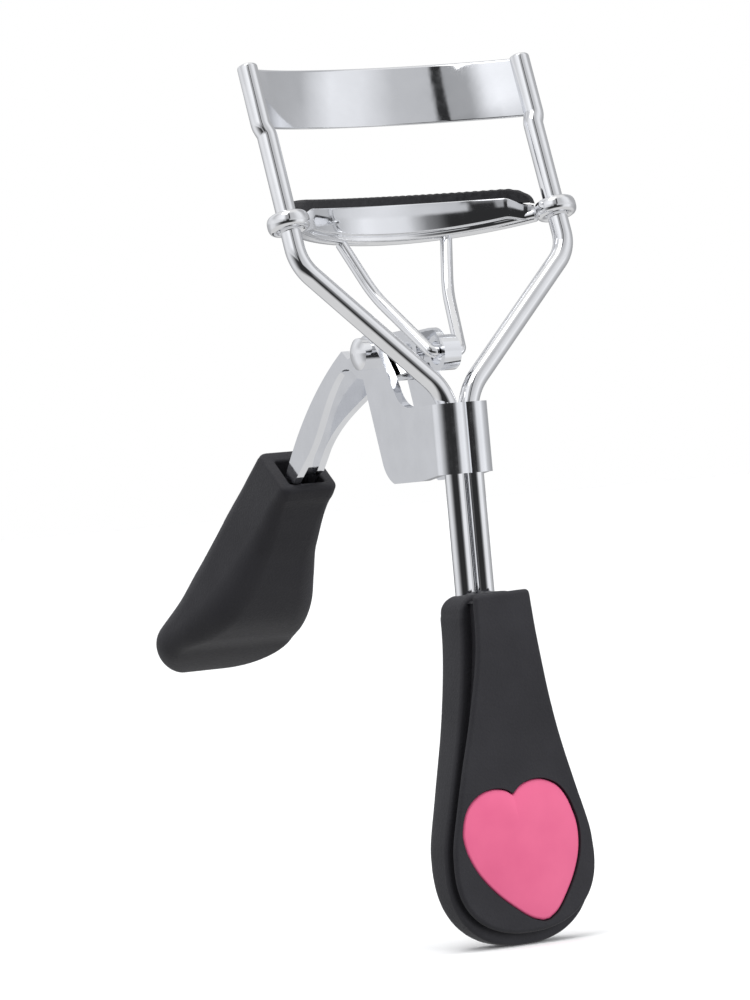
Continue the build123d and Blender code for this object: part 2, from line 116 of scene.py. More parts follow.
# The ceiling and the table each have a brightness that lights matt surfaces and another that
# bright metal mirrors. The gain raises all the light that matt surfaces get from the room.
LID_STRENGTH = 1.9
LID_SHINE = 0.85
TABLE_GLOW = 0.2
TABLE_SHINE = 0.7
SOFT_LIGHT_GAIN = 0.15
WALL_TINT = (0.965, 0.975, 1.0)


def node(tree, kind, **sockets):
    """A new shader node with some of its inputs set."""
    made = tree.nodes.new(kind)
    for name, value in sockets.items():
        made.inputs[name].default_value = value
    return made


def wall_ramp(tree, table):
    """A colour ramp over the full turn, from the table's angles and brightnesses."""
    ramp = tree.nodes.new("ShaderNodeValToRGB")
    stops = ramp.color_ramp.elements
    for index, (angle, level) in enumerate(table):
        place = (angle + 180) / 360
        stop = stops[index] if index < 2 else stops.new(place)
        stop.position = place
        stop.color = (*(level * tint for tint in WALL_TINT), 1)
    return ramp


def math_node(tree, operation, a, b=None):
    """The result of one arithmetic step on numbers or on other nodes' results."""
    made = tree.nodes.new("ShaderNodeMath")
    made.operation = operation
    for index, value in enumerate((a, b)):
        if value is None:
            continue
        if isinstance(value, (int, float)):
            made.inputs[index].default_value = value
        else:
            tree.links.new(value, made.inputs[index])
    return made.outputs[0]


def either(tree, switch, off, on):
    """One value while the switch is 0, another while it is 1."""
    step = math_node(tree, "MULTIPLY", switch, on - off)
    return math_node(tree, "ADD", off, step)


def add_world():
    """A soft studio all round: pale walls with darker gaps, which bright metal needs to read."""
    world = bpy.data.worlds.new("studio")
    bpy.context.scene.world = world
    world.use_nodes = True
    tree = world.node_tree
    tree.nodes.clear()
    out = tree.nodes.new("ShaderNodeOutputWorld")
    coord = tree.nodes.new("ShaderNodeTexCoord")
    split = tree.nodes.new("ShaderNodeSeparateXYZ")
    tree.links.new(coord.outputs["Generated"], split.inputs[0])
    x, y, z = split.outputs
    angle = math_node(tree, "ARCTAN2", y, x)
    from_camera = math_node(tree, "SUBTRACT", angle, CAMERA_SIDE)
    # Half a turn more puts the camera's side mid-ramp, and a whole one keeps the sum positive.
    turn = math_node(tree, "ADD", math_node(tree, "DIVIDE", from_camera, 2 * math.pi), 1.5)
    turn = math_node(tree, "FRACT", turn)
    room = wall_ramp(tree, LOW_WALL)
    tree.links.new(turn, room.inputs[0])
    room = room.outputs[0]
    path = tree.nodes.new("ShaderNodeLightPath")
    in_mirror = path.outputs["Is Glossy Ray"]
    lid = either(tree, in_mirror, LID_STRENGTH, LID_SHINE)
    table = either(tree, in_mirror, TABLE_GLOW, TABLE_SHINE)
    layers = [(MID_WALL, MID_RISE), (HIGH_WALL, HIGH_RISE), (lid, LID_RISE), (table, TABLE_FALL)]
    for look, (start, end) in layers:
        climb = node(tree, "ShaderNodeMapRange", **{"From Min": start, "From Max": end})
        tree.links.new(z, climb.inputs["Value"])
        blend = tree.nodes.new("ShaderNodeMixRGB")
        tree.links.new(climb.outputs[0], blend.inputs[0])
        tree.links.new(room, blend.inputs[1])
        if isinstance(look, list):
            wall = wall_ramp(tree, look)
            tree.links.new(turn, wall.inputs[0])
            tree.links.new(wall.outputs[0], blend.inputs[2])
        else:
            tree.links.new(look, blend.inputs[2])
        room = blend.outputs[0]
    seen = node(tree, "ShaderNodeBackground", Color=(1, 1, 1, 1), Strength=1.0)
    lighting = node(tree, "ShaderNodeBackground", Strength=1.0)
    tree.links.new(room, lighting.inputs[0])
    gain = math_node(tree, "MULTIPLY", path.outputs["Is Diffuse Ray"], SOFT_LIGHT_GAIN)
    tree.links.new(math_node(tree, "ADD", gain, 1.0), lighting.inputs[1])
    mix = tree.nodes.new("ShaderNodeMixShader")
    tree.links.new(path.outputs["Is Camera Ray"], mix.inputs[0])
    tree.links.new(lighting.outputs[0], mix.inputs[1])
    tree.links.new(seen.outputs[0], mix.inputs[2])
    tree.links.new(mix.outputs[0], out.inputs[0])


FLOOR_HALF = 60.0
SOFTBOX_PLACE = (-330, -240, 780)
SOFTBOX_SIZE = 0.45
SOFTBOX_POWER = 1.3
FILL_PLACE = (40, -900, 160)
FILL_SIZE = 0.5
FILL_POWER = 4.0


def add_soft_light(name, place, size, power):
    """A square soft light that faces the tool."""
    data = bpy.data.lights.new(name, "AREA")
    data.shape = "SQUARE"
    data.size = size
    data.energy = power
    light = bpy.data.objects.new(name, data)
    bpy.context.scene.collection.objects.link(light)
    light.location = to_row(place)
    way = ORIGIN - light.location
    light.rotation_euler = way.to_track_quat("-Z", "Y").to_euler()
    return light


def add_lights():
    """One light above and to the left that shapes the grips, and a fill that the metal doesn't mirror."""
    add_soft_light("softbox", SOFTBOX_PLACE, SOFTBOX_SIZE, SOFTBOX_POWER)
    fill = add_soft_light("front_fill", FILL_PLACE, FILL_SIZE, FILL_POWER)
    fill.visible_glossy = False


def add_floor():
    """A wide pale floor under the tool, left out of mirrors and of the light on matt surfaces."""
    mesh = bpy.data.meshes.new("floor")
    corners = [(-1, -1), (1, -1), (1, 1), (-1, 1)]
    mesh.from_pydata([(x * FLOOR_HALF, y * FLOOR_HALF, 0) for x, y in corners], [], [(0, 1, 2, 3)])
    floor = bpy.data.objects.new("floor", mesh)
    bpy.context.scene.collection.objects.link(floor)
    floor.data.materials.append(pale_floor())
    floor.visible_glossy = False
    floor.visible_diffuse = False


def add_studio():
    add_world()
    add_lights()
    add_floor()
    bpy.context.scene.view_settings.view_transform = "Standard"


# ---------------------------------------------------------------- materials


def new_material(name, **sockets):
    """A principled material with an object-space coordinate to hang its detail on."""
    material = bpy.data.materials.new(name)
    material.use_nodes = True
    tree = material.node_tree
    shader = tree.nodes["Principled BSDF"]
    for socket, value in sockets.items():
        shader.inputs[socket.replace("_", " ")].default_value = value
    coord = tree.nodes.new("ShaderNodeTexCoord")
    return material, tree, shader, coord.outputs["Object"]


def noise(tree, coord, scale, detail=2.0, roughness=0.5):
    """A cloudy pattern between 0 and 1."""
    made = node(tree, "ShaderNodeTexNoise", Scale=scale, Detail=detail, Roughness=roughness)
    tree.links.new(coord, made.inputs["Vector"])
    return made.outputs["Fac"]


def ramp(tree, value, low, high, dark, pale):
    """Two colours across a stretch of a value."""
    made = tree.nodes.new("ShaderNodeValToRGB")
    stops = made.color_ramp.elements
    stops[0].position, stops[1].position = low, high
    stops[0].color, stops[1].color = (*dark, 1), (*pale, 1)
    tree.links.new(value, made.inputs[0])
    return made.outputs[0]


def span(tree, value, low, high):
    """The value carried from 0.3..0.7 onto low..high, for roughness."""
    limits = {"From Min": 0.3, "From Max": 0.7, "To Min": low, "To Max": high}
    made = node(tree, "ShaderNodeMapRange", **limits)
    tree.links.new(value, made.inputs["Value"])
    return made.outputs[0]


def bump(tree, shader, height, distance, strength=1.0):
    """Let a pattern dent the shader's surface, by a distance in metres."""
    made = node(tree, "ShaderNodeBump", Strength=strength, Distance=distance)
    tree.links.new(height, made.inputs["Height"])
    tree.links.new(made.outputs[0], shader.inputs["Normal"])


def bright_plate(name, tint, smear):
    """Bright nickel plate: faint waviness, cloudy roughness and a slight tint."""
    material, tree, shader, coord = new_material(name, Metallic=1.0)
    cloud = noise(tree, coord, 260, 3)
    colour = ramp(tree, cloud, 0.35, 0.7, [c * 0.95 for c in tint], tint)
    tree.links.new(colour, shader.inputs["Base Color"])
    smudge = noise(tree, coord, 900, 4)
    tree.links.new(span(tree, smudge, smear * 0.6, smear * 1.5), shader.inputs["Roughness"])
    bump(tree, shader, noise(tree, coord, 420, 2), 0.02 * MM, 0.5)
    return material


def grip_plastic():
    """Soft-touch black plastic with a fine, even grain."""
    material, tree, shader, coord = new_material("grip_plastic", Specular_IOR_Level=0.22)
    grain = noise(tree, coord, 3600, 3, 0.6)
    patch = noise(tree, coord, 150, 3)
    colour = ramp(tree, patch, 0.3, 0.75, (0.026, 0.0255, 0.0295), (0.035, 0.0345, 0.0395))
    tree.links.new(colour, shader.inputs["Base Color"])
    tree.links.new(span(tree, grain, 0.44, 0.58), shader.inputs["Roughness"])
    bump(tree, shader, grain, 0.06 * MM, 1.0)
    return material


def pad_rubber():
    """Matte silicone rubber, a little dusty."""
    material, tree, shader, coord = new_material("pad_rubber", Specular_IOR_Level=0.4)
    dust = noise(tree, coord, 1800, 4)
    colour = ramp(tree, dust, 0.35, 0.8, (0.012, 0.012, 0.014), (0.030, 0.030, 0.033))
    tree.links.new(colour, shader.inputs["Base Color"])
    tree.links.new(span(tree, dust, 0.5, 0.7), shader.inputs["Roughness"])
    bump(tree, shader, dust, 0.03 * MM, 0.5)
    return material


def pink_inlay():
    """Satin pink plastic with a soft bloom."""
    material, tree, shader, coord = new_material("pink_inlay", Coat_Weight=0.25, Coat_Roughness=0.3)
    bloom = noise(tree, coord, 130, 3)
    colour = ramp(tree, bloom, 0.3, 0.75, (0.79, 0.118, 0.262), (0.88, 0.155, 0.310))
    tree.links.new(colour, shader.inputs["Base Color"])
    grain = noise(tree, coord, 4200, 2)
    tree.links.new(span(tree, grain, 0.36, 0.46), shader.inputs["Roughness"])
    bump(tree, shader, grain, 0.01 * MM, 0.4)
    return material


def pale_floor():
    """A nearly white, matt surface."""
    material, tree, shader, coord = new_material("pale_floor", Roughness=0.9, Specular_IOR_Level=0.1)
    colour = ramp(tree, noise(tree, coord, 3), 0.3, 0.7, (0.95, 0.95, 0.95), (0.97, 0.97, 0.97))
    tree.links.new(colour, shader.inputs["Base Color"])
    return material


# ---------------------------------------------------------------- mesh tools

# Edges that turn by less than these many degrees are shaded smooth.
SMOOTH_SHELL = 40
SMOOTH_SHEET = 50
SMOOTH_ROUND = 60


def finish_piece(bm, name, material, body, smooth_angle=SMOOTH_SHELL):
    """Turn a bmesh in drawing millimetres into a piece that rides on a body."""
    bmesh.ops.remove_doubles(bm, verts=bm.verts, dist=1e-5)
    bmesh.ops.recalc_face_normals(bm, faces=bm.faces)
    for vertex in bm.verts:
        vertex.co = to_row(vertex.co)
    for face in bm.faces:
        face.smooth = True
    mesh = bpy.data.meshes.new(name)
    bm.to_mesh(mesh)
    bm.free()
    mesh.set_sharp_from_angle(angle=math.radians(smooth_angle))
    mesh.materials.append(material)
    piece = bpy.data.objects.new(name, mesh)
    bpy.context.scene.collection.objects.link(piece)
    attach(piece, body)
    return piece


def skin(rings, cap_start=True, cap_end=True):
    """A bmesh skinned over closed rings of the same number of points."""
    bm = bmesh.new()
    rows = [[bm.verts.new(p) for p in ring] for ring in rings]
    count = len(rows[0])
    for a, b in zip(rows, rows[1:]):
        for i in range(count):
            j = (i + 1) % count
            bm.faces.new((a[i], a[j], b[j], b[i]))
    if cap_start:
        bm.faces.new(reversed(rows[0]))
    if cap_end:
        bm.faces.new(rows[-1])
    return bm


def smooth_curve(points, steps):
    """A centripetal curve through the points, with a number of steps between each pair."""
    pts = [Vector(p) for p in points]
    pts = [2 * pts[0] - pts[1]] + pts + [2 * pts[-1] - pts[-2]]
    out = []
    for p0, p1, p2, p3 in zip(pts, pts[1:], pts[2:], pts[3:]):
        t1 = math.sqrt((p1 - p0).length)
        t2 = t1 + math.sqrt((p2 - p1).length)
        t3 = t2 + math.sqrt((p3 - p2).length)
        for k in range(steps):
            t = t1 + (t2 - t1) * k / steps
            a1 = p0 * ((t1 - t) / t1) + p1 * (t / t1)
            a2 = p1 * ((t2 - t) / (t2 - t1)) + p2 * ((t - t1) / (t2 - t1))
            a3 = p2 * ((t3 - t) / (t3 - t2)) + p3 * ((t - t2) / (t3 - t2))
            b1 = a1 * ((t2 - t) / t2) + a2 * (t / t2)
            b2 = a2 * ((t3 - t) / (t3 - t1)) + a3 * ((t - t1) / (t3 - t1))
            out.append(b1 * ((t2 - t) / (t2 - t1)) + b2 * ((t - t1) / (t2 - t1)))
    out.append(pts[-2])
    return out


def resample(loop, count):
    """A closed loop's points respaced evenly, starting at its first point."""
    pts = np.array([tuple(p) for p in loop] + [tuple(loop[0])])
    run = np.concatenate([[0], np.cumsum(np.linalg.norm(np.diff(pts, axis=0), axis=1))])
    wanted = np.linspace(0, run[-1], count, endpoint=False)
    return np.stack([np.interp(wanted, run, pts[:, k]) for k in range(pts.shape[1])], axis=1)


def inset_loop(loop, distance):
    """A closed 2-D loop pulled in by a distance along its normals."""
    ahead = np.roll(loop, -1, axis=0) - np.roll(loop, 1, axis=0)
    ahead /= np.linalg.norm(ahead, axis=1)[:, None]
    inward = np.stack([-ahead[:, 1], ahead[:, 0]], axis=1)
    area = np.sum(loop[:, 0] * np.roll(loop[:, 1], -1) - loop[:, 1] * np.roll(loop[:, 0], -1))
    return loop + inward * distance * (1 if area > 0 else -1)


def bent_path(corners, radii, step=math.radians(3)):
    """Straight runs joined by tangent arcs, as points."""
    pts = [Vector(c) for c in corners]
    out = [pts[0]]
    for before, corner, after, radius in zip(pts, pts[1:], pts[2:], radii):
        a = (before - corner).normalized()
        b = (after - corner).normalized()
        turn = math.pi - a.angle(b)
        centre_way = (a + b).normalized()
        centre = corner + centre_way * radius / math.cos(turn / 2)
        start = corner + a * radius * math.tan(turn / 2)
        arm = start - centre
        axis = a.cross(b).normalized()
        count = max(3, math.ceil(turn / step))
        for k in range(count + 1):
            out.append(centre + Matrix.Rotation(-turn * k / count, 3, axis) @ arm)
    out.append(pts[-1])
    return out


def carried_frames(path):
    """Two directions square to the path at each point, carried along it without twist."""
    tangents = []
    for i, point in enumerate(path):
        ahead = path[min(i + 1, len(path) - 1)]
        behind = path[max(i - 1, 0)]
        tangents.append((ahead - behind).normalized())
    side = tangents[0].orthogonal().normalized()
    frames = []
    last = tangents[0]
    for tangent in tangents:
        side = last.rotation_difference(tangent) @ side
        last = tangent
        frames.append((side, tangent.cross(side)))
    return frames


def tube(path, radius, sides, end_round=0.3):
    """A round wire along a path: its far end is rounded over and its near end is dished."""
    first = (path[1] - path[0]).normalized()
    final = (path[-1] - path[-2]).normalized()
    start = []
    end = []
    for k in range(6):
        turn = math.pi / 2 * k / 5
        back = end_round * (1 - math.sin(turn))
        ring_r = radius - end_round * (1 - math.cos(turn))
        start.append((path[0] + first * back, ring_r))
        end.append((path[-1] - final * back, ring_r))
    middle = [(p, radius) for p in path[1:-1]]
    stations = [(start[0][0], radius - end_round)] + start[-2::-1] + middle + end
    frames = carried_frames([p for p, _ in stations])
    rings = []
    for (point, r), (u, v) in zip(stations, frames):
        spokes = [2 * math.pi * k / sides for k in range(sides)]
        rings.append([point + (u * math.cos(t) + v * math.sin(t)) * r for t in spokes])
    return skin(rings)


# ---------------------------------------------------------------- wires and plate

WIRE_R = 1.25
WIRE_SIDES = 48
THIN_WIRE_SIDES = 32
WIRE_X = 1.31
HEAD_X = 18.8
CROTCH_Z = 1.1
BEND_Y = 2.5
BEND_Z = 18.04
HEAD_TILT = math.radians(17.42)
HEAD_UP = Vector((0, math.sin(HEAD_TILT), math.cos(HEAD_TILT)))
SLOT_START = 17.9
SLOT_SPREAD = 0.45
JOG_BELOW = 0.9
JOG_ABOVE = 0.2
WIRE_TOP = 26.1
WIRE_FOOT_Z = -50.0
WIRE_BENDS = [7.0, 5.0, 2.0, 2.0]
BOW = 9.3
JAW_RISE = math.radians(2.3)
PLATE_T = 0.8
PLATE_H = 7.9
PLATE_STAKE = 0.5
PLATE_EDGE = 0.28
LINK_R = 0.75
LINK_CORNERS = [(2.05, 1.74, 6.43), (5.2, 9.0, 14.1), (7.48, 12.12, 20.9)]
LINK_BENDS = [14.0, 0.8, 0.8, 14.0]
LINK_END_ROUND = 0.1


def along_head(run, x=HEAD_X):
    """A point on a head wire's centre line, that far above the upper bend."""
    return Vector((x, BEND_Y, BEND_Z)) + HEAD_UP * run


def frame_wire(side, material):
    """One frame wire, from inside the handle up to its top."""
    corners = [Vector((WIRE_X, 0, WIRE_FOOT_Z)), Vector((WIRE_X, 0, CROTCH_Z)), along_head(0)]
    corners.append(along_head(SLOT_START - JOG_BELOW))
    corners.append(along_head(SLOT_START + JOG_ABOVE, HEAD_X + SLOT_SPREAD))
    corners.append(along_head(WIRE_TOP, HEAD_X + SLOT_SPREAD))
    corners = [(c.x * side, c.y, c.z) for c in corners]
    wire = tube(bent_path(corners, WIRE_BENDS), WIRE_R, WIRE_SIDES)
    name = "bent_wire_right" if side > 0 else "bent_wire_left"
    return finish_piece(wire, name, material, "frame", SMOOTH_ROUND)


def bow_point(x, half, end_y):
    """The point on a bow at an X position, and the unit vector out to the back."""
    radius = (half**2 + BOW**2) / (2 * BOW)
    turn = math.asin(x / radius)
    spot = Vector((x, end_y + BOW - radius + radius * math.cos(turn), 0))
    return spot, Vector((math.sin(turn), math.cos(turn), 0))


def jaw_plate(material):
    """The fixed upper jaw: a thin bowed plate whose edges are rolled smooth."""
    foot = along_head(SLOT_START)
    half = HEAD_X + SLOT_SPREAD
    reach = half + PLATE_STAKE
    middle = PLATE_H / 2
    profile = []
    for quarter, (across, up) in enumerate(((1, 1), (-1, 1), (-1, -1), (1, -1))):
        for k in range(5):
            turn = math.pi / 2 * k / 4 + quarter * math.pi / 2
            through = across * (PLATE_T / 2 - PLATE_EDGE) + PLATE_EDGE * math.cos(turn)
            height = middle + up * (middle - PLATE_EDGE) + PLATE_EDGE * math.sin(turn)
            profile.append((through, height))
    rings = []
    count = 120
    for k in range(count + 1):
        x = -reach + 2 * reach * k / count
        spot, out = bow_point(x, half, foot.y)
        ring = []
        for across, s in profile:
            p = spot + out * across
            p.z = foot.z + (p.y - foot.y) * math.tan(JAW_RISE)
            ring.append(p + HEAD_UP * s)
        rings.append(ring)
    plate = skin(rings)
    return finish_piece(plate, "bowed_plate", material, "frame", SMOOTH_SHEET)


def link_wire(material):
    """The push link: two legs from the jaw, joined by a cross pin through the clip."""
    right = [Vector(c) for c in LINK_CORNERS]
    left = [Vector((-c.x, c.y, c.z)) for c in reversed(right)]
    wire = tube(bent_path(left + right, LINK_BENDS), LINK_R, THIN_WIRE_SIDES, LINK_END_ROUND)
    return finish_piece(wire, "push_link", material, "jaw", SMOOTH_ROUND)


# ---------------------------------------------------------------- handle grip

GRIP_TOP_Z = -23.2
GRIP_FOOT_Z = -65.9
GRIP_SIDE = [(4.3, -23.2), (4.7, -29.5), (6.2, -38.0), (8.5, -47.0), (10.0, -53.0), (10.2, -55.6)]
FOOT_SQUARE = 0.84
GRIP_LEAN = math.radians(1.4)
GRIP_BACK_Y = 3.6
GRIP_TAPER = math.tan(math.radians(2.6))
SEAM_Y = -3.5
COVER_FRONT_Y = -5.2
COVER_INSET = 0.4
BODY_CORNER = 2.2
COVER_CORNER = 0.5
COVER_FOOT_IN = 1.5
COVER_LIP = 0.6
COVER_NECK = 1.0
COVER_STEP = 0.1
COVER_SIDE_IN = 0.15
COVER_ROUND_IN = 0.5
COVER_FACE_IN = 0.6
FRONT_PLACES = [-66.0, -48.0, -43.0, -37.0, -30.0, -23.0]
FRONT_DEPTHS = [-5.2, -5.2, -5.35, -5.9, -6.6, -6.5]
FACE_CUTS = 60
LOOP_POINTS = 360
FOOT_STEPS = 48
SIDE_IN_FROM = 4.0
SHELL_RIM = 0.45
SHELL_SEAM_IN = 1.6
SHELL_BACK_ROUND = 3.0
SHELL_BACK_IN = 2.6


def lean(x, z):
    """Turn a point of the handle's front view about the handle's top."""
    dz = z - GRIP_TOP_Z
    c, s = math.cos(GRIP_LEAN), math.sin(GRIP_LEAN)
    return x * c - dz * s, GRIP_TOP_Z + dz * c + x * s


def grip_loop(corner, side_in=0.0, foot_in=0.0):
    """The handle from the front: a flat top, flaring sides and a round foot, pulled in if asked."""
    widest_x, widest_z = GRIP_SIDE[-1]
    upper = [(x, z) for x, z, _ in smooth_curve([(*p, 0) for p in GRIP_SIDE], 12)]
    foot = []
    for k in range(1, FOOT_STEPS):
        turn = math.pi / 2 * k / FOOT_STEPS
        x = widest_x * math.cos(turn) ** FOOT_SQUARE
        foot.append((x, widest_z - (widest_z - GRIP_FOOT_Z) * math.sin(turn) ** FOOT_SQUARE))
    side = [p for p in upper if p[1] < GRIP_TOP_Z - corner] + foot
    far = [(-x, z) for x, z in reversed(side)]
    square_x = GRIP_SIDE[0][0] - corner
    square_z = GRIP_TOP_Z - corner
    turns = [math.pi / 2 * k / 8 for k in range(9)]
    left = [(-square_x - corner * math.cos(t), square_z + corner * math.sin(t)) for t in turns]
    right = [(square_x + corner * math.sin(t), square_z + corner * math.cos(t)) for t in turns]
    loop = resample(side + [(0, GRIP_FOOT_Z)] + far + left + right, LOOP_POINTS)
    shrink_x = 1 - side_in / np.maximum(np.abs(loop[:, 0]), SIDE_IN_FROM)
    low = np.clip((widest_z - loop[:, 1]) / (widest_z - GRIP_FOOT_Z), 0, 1)
    return np.stack([loop[:, 0] * shrink_x, loop[:, 1] + foot_in * low], axis=1)


def grip_ring(loop, depth):
    """A loop as points in space, at one depth or at a depth that follows the height."""
    ring = []
    for x, z in loop:
        y = depth(z) if callable(depth) else depth
        lx, lz = lean(x, z)
        ring.append((lx, y, lz))
    return ring


def swell_front(bm):
    """Carry a flat-fronted piece onto the handle's true front, which stands out towards the top."""
    lip_y = COVER_FRONT_Y + COVER_LIP
    for vert in bm.verts:
        out = float(np.interp(vert.co.z, FRONT_CURVE[:, 0], FRONT_CURVE[:, 1])) - COVER_FRONT_Y
        held = min(1.0, max(0.0, (SEAM_Y - vert.co.y) / (SEAM_Y - lip_y)))
        vert.co.y += out * held


FRONT_POINTS = [(z, y, 0) for z, y in zip(FRONT_PLACES, FRONT_DEPTHS)]
FRONT_CURVE = np.array([tuple(p) for p in smooth_curve(FRONT_POINTS, 8)])


def back_face(z):
    """The depth of the handle's back, which tapers towards the foot."""
    return GRIP_BACK_Y + (z - GRIP_TOP_Z) * GRIP_TAPER


def handle_body(material):
    """The back shell: a soft rim at the seam and a deep round along the back."""
    loop = grip_loop(BODY_CORNER)
    rings = [grip_ring(inset_loop(loop, SHELL_SEAM_IN), SEAM_Y)]
    for k in range(7):
        turn = math.pi / 2 * k / 6
        pulled = inset_loop(loop, SHELL_RIM * (1 - math.sin(turn)))
        rings.append(grip_ring(pulled, SEAM_Y + SHELL_RIM * (1 - math.cos(turn))))
    for k in range(13):
        turn = math.pi / 2 * k / 12
        pulled = inset_loop(loop, SHELL_BACK_IN * (1 - math.cos(turn)))
        rings.append(grip_ring(pulled, lambda z: back_face(z) - SHELL_BACK_ROUND * (1 - math.sin(turn))))
    return finish_piece(skin(rings), "handle_back_shell", material, "frame")


HEART_CENTRE = (-0.3, -53.1)
HEART_TURN = math.radians(5.0)
HEART_GAP = 0.16
HEART_DEPTH = 0.9
HEART_PROUD = 0.3
HEART_SHOULDER = 0.12
HEART_SWAY = 0.12
HEART_SWAY_FROM = 2.0
HEART_EDGE = 0.35
HEART_EDGE_FROM = 7.0
DOME_SHARES = (0.93, 0.86, 0.75, 0.62, 0.48, 0.34, 0.2, 0.08)
DOME_LEVEL_AT = 0.95
POCKET_POINTS = 160
POCKET_STEP = 0.1
POCKET_DRAFT = 0.03


def heart_outline():
    """The heart in its own axes, from its cleft round the right side to its tip and back."""
    right = [(0, 5.5), (0.9, 6.2), (2.5, 6.65), (4.4, 6.45), (6.4, 5.2), (7.6, 2.9)]
    right += [(7.9, 0.3), (7.2, -2.7), (5.7, -5.4), (3.8, -7.7), (1.9, -9.5), (0.5, -10.2)]
    half = [(p.x, p.y) for p in smooth_curve([(*p, 0) for p in right], 12)]
    whole = half + [(-x, z) for x, z in reversed(half) if x > 0.01]
    return [(x + HEART_SWAY * max(0, HEART_SWAY_FROM - z), z) for x, z in whole]


def heart_radius_table():
    """The heart's angles and radii about its own centre, in order of angle."""
    pts = np.array(heart_outline())
    angle = np.arctan2(pts[:, 1], pts[:, 0])
    order = np.argsort(angle)
    return angle[order], np.hypot(pts[:, 0], pts[:, 1])[order]


HEART_ANGLES, HEART_RADII = heart_radius_table()


def heart_loop(directions, grow):
    """The heart's outline in the handle's front view, sampled along the given directions."""
    turned = directions - HEART_TURN
    turned = (turned + np.pi) % (2 * np.pi) - np.pi
    reach = np.interp(turned, HEART_ANGLES, HEART_RADII, period=2 * np.pi) + grow
    x = HEART_CENTRE[0] + reach * np.cos(directions)
    z = HEART_CENTRE[1] + reach * np.sin(directions)
    return np.stack([x, z], axis=1)


def handle_cover(material):
    """The front shell: a soft-edged face with a heart-shaped pocket."""
    loop = grip_loop(COVER_CORNER, COVER_INSET, COVER_FOOT_IN)
    edge = COVER_LIP - COVER_STEP
    lip_y = COVER_FRONT_Y + COVER_LIP
    rings = [grip_ring(inset_loop(loop, COVER_NECK), SEAM_Y)]
    rings.append(grip_ring(inset_loop(loop, COVER_NECK), lip_y + COVER_STEP))
    rings.append(grip_ring(inset_loop(loop, COVER_SIDE_IN), lip_y))
    for k in range(9):
        turn = math.pi / 2 * k / 8
        pulled = inset_loop(loop, COVER_ROUND_IN * (1 - math.cos(turn)))
        rings.append(grip_ring(pulled, COVER_FRONT_Y + edge * (1 - math.sin(turn))))
    rings.append(grip_ring(inset_loop(loop, COVER_FACE_IN), COVER_FRONT_Y))
    bm = skin(rings, cap_start=True, cap_end=False)
    bm.edges.ensure_lookup_table()
    outer = [e for e in bm.edges if len(e.link_faces) == 1]
    directions = np.linspace(-np.pi, np.pi, POCKET_POINTS, endpoint=False)
    wall = HEART_GAP - POCKET_DRAFT
    rim_loops = [(HEART_GAP + POCKET_STEP, 0.0), (HEART_GAP, 0.0)]
    rim_loops += [(wall, POCKET_STEP), (wall, HEART_DEPTH)]
    rows = []
    for grow, depth in rim_loops:
        ring = grip_ring(heart_loop(directions, grow), COVER_FRONT_Y + depth)
        rows.append([bm.verts.new(p) for p in ring])
    for a_row, b_row in zip(rows, rows[1:]):
        for i in range(len(a_row)):
            j = (i + 1) % len(a_row)
            bm.faces.new((a_row[i], a_row[j], b_row[j], b_row[i]))
    bm.faces.new(rows[-1])
    rim = rows[0]
    inner = [bm.edges.get((a, b)) for a, b in zip(rim, rim[1:] + rim[:1])]
    bmesh.ops.triangle_fill(bm, use_beauty=True, use_dissolve=False, edges=outer + inner)
    for k in range(1, FACE_CUTS):
        level = GRIP_FOOT_Z + (GRIP_TOP_Z - GRIP_FOOT_Z) * k / FACE_CUTS
        parts = bm.verts[:] + bm.edges[:] + bm.faces[:]
        bmesh.ops.bisect_plane(bm, geom=parts, dist=1e-5, plane_co=(0, 0, level), plane_no=(0, 0, 1))
    swell_front(bm)
    return finish_piece(bm, "handle_front_cover", material, "frame")


def heart_inlay(material):
    """The inlay: a low dome with a rounded edge."""
    directions = np.linspace(-np.pi, np.pi, LOOP_POINTS, endpoint=False)
    outline = heart_loop(directions, 0.0)
    centre = np.array(HEART_CENTRE)
    rings = [grip_ring(outline, COVER_FRONT_Y + HEART_DEPTH)]
    for k in range(9):
        turn = math.pi / 2 * k / 8
        pull = 1 - HEART_EDGE * (1 - math.cos(turn)) / HEART_EDGE_FROM
        depth = HEART_SHOULDER + HEART_EDGE * (1 - math.sin(turn))
        rings.append(grip_ring(centre + (outline - centre) * pull, COVER_FRONT_Y + depth))
    for share in DOME_SHARES:
        rise = HEART_PROUD - (HEART_PROUD + HEART_SHOULDER) * (share / DOME_LEVEL_AT) ** 3
        rings.append(grip_ring(centre + (outline - centre) * share, COVER_FRONT_Y - rise))
    return finish_piece(skin(rings), "heart_inlay_domed", material, "frame", SMOOTH_ROUND)


# ---------------------------------------------------------------- lever grip

LEVER_GRIP_TOP = (42.38, -5.94)
LEVER_GRIP_TILT = 39.5
LEVER_GRIP_CURL = 0.615
LEVER_GRIP_LENGTH = 41.1
LEVER_GRIP_DRIFT = -1.2
LEVER_GRIP_PLACES = [0, 0.15, 0.26, 0.38, 0.5, 0.61, 0.75]
LEVER_GRIP_WIDTH = [4.12, 4.46, 5.12, 6.4, 7.9, 8.97, 9.93]
LEVER_GRIP_THICK = [4.17, 4.77, 5.13, 5.29, 5.0, 3.9, 2.4]
LEVER_GRIP_BEHIND = [0, 0.62, 0.75, 0.01, -0.85, -1.15, -0.8]
LEVER_FOOT_THICK = 0.8
LEVER_FOOT_FULLNESS = 1.7
LEVER_FOOT_CLOSE = 0.8
LEVER_FOOT_LEAST = 0.02
LEVER_FOOT_REACH = 0.98
LEVER_RINGS = 60
LEVER_FOOT_RINGS = 24
LEVER_CORNER_TOP = 0.3
LEVER_CORNER_RISE = 0.93
LEVER_CORNER_MOST = 0.98
SOCKET_HALF = 2.5
SOCKET_DEPTH = 16.0
SOCKET_OFFSET = 0.4
SOCKET_CORNER = 0.15
